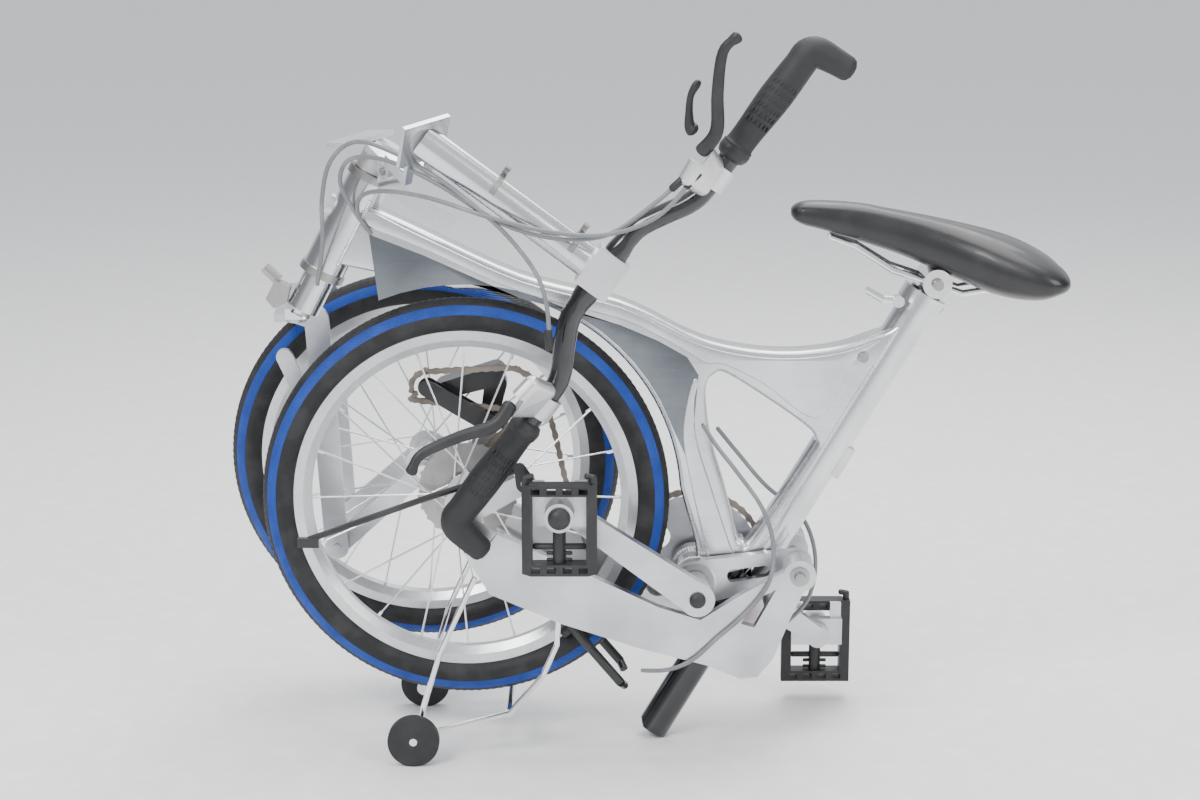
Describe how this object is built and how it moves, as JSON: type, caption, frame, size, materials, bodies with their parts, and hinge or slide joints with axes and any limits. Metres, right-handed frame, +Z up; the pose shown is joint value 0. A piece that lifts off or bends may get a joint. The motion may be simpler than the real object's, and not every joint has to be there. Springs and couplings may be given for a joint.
{
  "type": "folding bicycle",
  "caption": "Small-wheeled folding bicycle, folded for carrying, with cranks, chain, saddle, handlebar, stand and two small rolling wheels",
  "frame": {"origin": "centre of the bounding box, at floor level", "axes": "+X to the back of the bicycle, +Y to its right side, +Z up"},
  "size_m": [0.8724, 0.3556, 0.7641],
  "materials": {
    "polished_alloy": "polished, clear",
    "rim_alloy": "machined",
    "bright_steel": "bright plated",
    "plain_steel": "plain",
    "black_alloy": "gloss black",
    "crank_alloy": "brushed",
    "black_plastic": "matt",
    "grip_rubber": "matt",
    "red_rubber": "matt",
    "tyre_rubber": "matt, blue bands",
    "saddle_cover": "satin black",
    "cable_sleeve": "grey"
  },
  "bodies": {
    "frame": {"main_frame": "polished_alloy", "head_tube": "polished_alloy", "seat_tube": "polished_alloy", "bb_shell": "polished_alloy", "pivot_lugs": "polished_alloy", "frame_fittings": "polished_alloy", "headset_cups": "plain_steel", "seat_clamp": "polished_alloy", "bb_cartridge": "plain_steel", "chain": "plain_steel", "cables": "cable_sleeve"},
    "steerer": {"steerer": "plain_steel", "crown": "polished_alloy", "hinge_base": "polished_alloy", "hinge_pin": "plain_steel"},
    "crown_latch": {"crown_latch": "plain_steel"},
    "latch_lever": {"latch_lever": "bright_steel"},
    "handlepost": {"handlepost": "polished_alloy", "bar_clamp": "rim_alloy", "handlebar": "black_alloy", "cable_hooks": "plain_steel", "right_grip": "grip_rubber", "left_grip": "grip_rubber", "right_lever_body": "rim_alloy", "left_lever_body": "rim_alloy"},
    "right_brake_lever": {"right_brake_lever": "black_plastic"},
    "left_brake_lever": {"left_brake_lever": "black_plastic"},
    "shift_lever": {"shift_lever": "black_plastic"},
    "fork": {"fork": "polished_alloy", "fork_links": "rim_alloy", "front_axle_bolt": "bright_steel"},
    "front_wheel": {"front_hub": "rim_alloy", "front_rim": "rim_alloy", "front_tyre": "tyre_rubber", "front_spokes": "plain_steel"},
    "swingarm": {"swingarm": "polished_alloy", "pivot_bolts": "plain_steel", "rubber_buffer": "red_rubber", "caster_frame": "bright_steel", "rear_axle_bolt": "bright_steel", "derailleur": "black_alloy"},
    "rear_wheel": {"rear_hub": "rim_alloy", "rear_rim": "rim_alloy", "rear_tyre": "tyre_rubber", "rear_spokes": "plain_steel", "cassette": "plain_steel"},
    "derailleur_cage": {"derailleur_cage": "black_alloy"},
    "rear_brake_left": {"rear_brake_left": "black_alloy"},
    "rear_brake_right": {"rear_brake_right": "black_alloy"},
    "kickstand": {"kickstand": "black_alloy"},
    "casters": {"casters": "grip_rubber"},
    "seat": {"seat_post": "black_alloy", "saddle_rails": "bright_steel", "saddle": "saddle_cover"},
    "seat_clamp_lever": {"seat_clamp_lever": "bright_steel"},
    "crankset": {"crankset": "crank_alloy"},
    "left_pedal": {"left_pedal": "rim_alloy"},
    "left_cage": {"left_cage": "black_plastic"},
    "right_pedal": {"right_pedal": "rim_alloy"},
    "right_cage": {"right_cage": "black_plastic"}
  },
  "joints": [
    {"name": "rear_fold", "type": "hinge", "parent": "frame", "child": "swingarm", "pos_m": [0.17632, -0.0244, 0.2], "axis": [0, -1, 0], "range_deg": [0, 160], "deforming": ["chain", "cables"]},
    {"name": "seat_post_slide", "type": "slide", "parent": "frame", "child": "seat", "axis": [0.5075, 0, 0.8616], "range_m": [0, 0.46]},
    {"name": "steering", "type": "hinge", "parent": "frame", "child": "steerer", "pos_m": [-0.31468, -0.0244, 0.51], "axis": [-0.4648, 0, -0.8854], "range_deg": [0, 25]},
    {"name": "fork_fold", "type": "hinge", "parent": "steerer", "child": "fork", "pos_m": [-0.35168, 0.0336, 0.451], "axis": [0, -0.061, 0.9981], "range_deg": [0, 180]},
    {"name": "handlepost_fold", "type": "hinge", "parent": "steerer", "child": "handlepost", "pos_m": [-0.23468, -0.0694, 0.62], "axis": [-0.7763, -0.605, -0.177], "range_deg": [0, 125]},
    {"name": "front_wheel_spin", "type": "hinge", "parent": "fork", "child": "front_wheel", "pos_m": [-0.22218, 0.11371, 0.27445], "axis": [0, -0.9925, -0.1219], "continuous": true},
    {"name": "rear_wheel_spin", "type": "hinge", "parent": "swingarm", "child": "rear_wheel", "pos_m": [-0.17068, -0.0244, 0.265], "axis": [0, 1, 0], "continuous": true},
    {"name": "crank_spin", "type": "hinge", "parent": "frame", "child": "crankset", "pos_m": [0.07032, -0.0244, 0.181], "axis": [0, -1, 0], "range_deg": [-85, 110]},
    {"name": "left_pedal_spin", "type": "hinge", "parent": "crankset", "child": "left_pedal", "pos_m": [-0.07057, -0.0244, 0.27965], "axis": [0, 1, 0], "continuous": true},
    {"name": "right_pedal_spin", "type": "hinge", "parent": "crankset", "child": "right_pedal", "pos_m": [0.21121, -0.0244, 0.08235], "axis": [0, 1, 0], "continuous": true},
    {"name": "left_cage_fold", "type": "hinge", "parent": "left_pedal", "child": "left_cage", "pos_m": [-0.07057, -0.13625, 0.31166], "axis": [-1, 0, 0], "range_deg": [0, 90]},
    {"name": "right_cage_fold", "type": "hinge", "parent": "right_pedal", "child": "right_cage", "pos_m": [0.21121, 0.08745, 0.11435], "axis": [1, 0, 0], "range_deg": [0, 90]},
    {"name": "caster_spin", "type": "hinge", "parent": "swingarm", "child": "casters", "pos_m": [-0.22368, -0.0244, 0.027], "axis": [0, 1, 0], "continuous": true},
    {"name": "kickstand_swing", "type": "hinge", "parent": "swingarm", "child": "kickstand", "pos_m": [-0.10568, -0.0954, 0.299], "axis": [0, 1, 0], "range_deg": [0, 85]},
    {"name": "right_brake_pull", "type": "hinge", "parent": "handlepost", "child": "right_brake_lever", "pos_m": [0.06698, -0.15177, 0.64865], "axis": [0.0001, -1, -0.0004], "range_deg": [0, 12], "stiffness_Nm_per_rad": 3},
    {"name": "left_brake_pull", "type": "hinge", "parent": "handlepost", "child": "left_brake_lever", "pos_m": [-0.12156, -0.1517, 0.39506], "axis": [-0.0001, 1, 0.0004], "range_deg": [0, 12], "stiffness_Nm_per_rad": 3},
    {"name": "shift_push", "type": "hinge", "parent": "handlepost", "child": "shift_lever", "pos_m": [0.05889, -0.14178, 0.66962], "axis": [0.8025, 0.0003, -0.5967], "range_deg": [0, 12], "stiffness_Nm_per_rad": 2},
    {"name": "rear_brake_left_close", "type": "hinge", "parent": "swingarm", "child": "rear_brake_left", "pos_m": [-0.06868, -0.0594, 0.144], "axis": [0.7659, 0, 0.6429], "range_deg": [-4, 4]},
    {"name": "rear_brake_right_close", "type": "hinge", "parent": "swingarm", "child": "rear_brake_right", "pos_m": [-0.06868, 0.0106, 0.144], "axis": [0.7659, 0, 0.6429], "range_deg": [-4, 4]},
    {"name": "derailleur_cage_swing", "type": "hinge", "parent": "swingarm", "child": "derailleur_cage", "pos_m": [-0.17968, 0.0216, 0.354], "axis": [0, 1, 0], "range_deg": [-4, 4], "stiffness_Nm_per_rad": 2},
    {"name": "post_latch", "type": "hinge", "parent": "steerer", "child": "latch_lever", "pos_m": [-0.24568, -0.0554, 0.605], "axis": [0, 1, 0], "range_deg": [0, 25]},
    {"name": "fork_latch", "type": "hinge", "parent": "steerer", "child": "crown_latch", "pos_m": [-0.35968, -0.0244, 0.483], "axis": [0, 1, 0], "range_deg": [0, 20]},
    {"name": "seat_clamp_release", "type": "hinge", "parent": "frame", "child": "seat_clamp_lever", "pos_m": [0.27532, -0.0544, 0.481], "axis": [0, 1, 0], "range_deg": [0, 90]}
  ],
  "couplings": [
    {"joint": "seat_post_slide", "follows": "rear_fold", "m_per_rad": 0.16473},
    {"joint": "steering", "follows": "rear_fold", "ratio": 0.15625},
    {"joint": "fork_fold", "follows": "rear_fold", "ratio": 1.125},
    {"joint": "rear_brake_left_close", "follows": "right_brake_pull", "ratio": -0.3},
    {"joint": "rear_brake_right_close", "follows": "right_brake_pull", "ratio": 0.3}
  ]
}
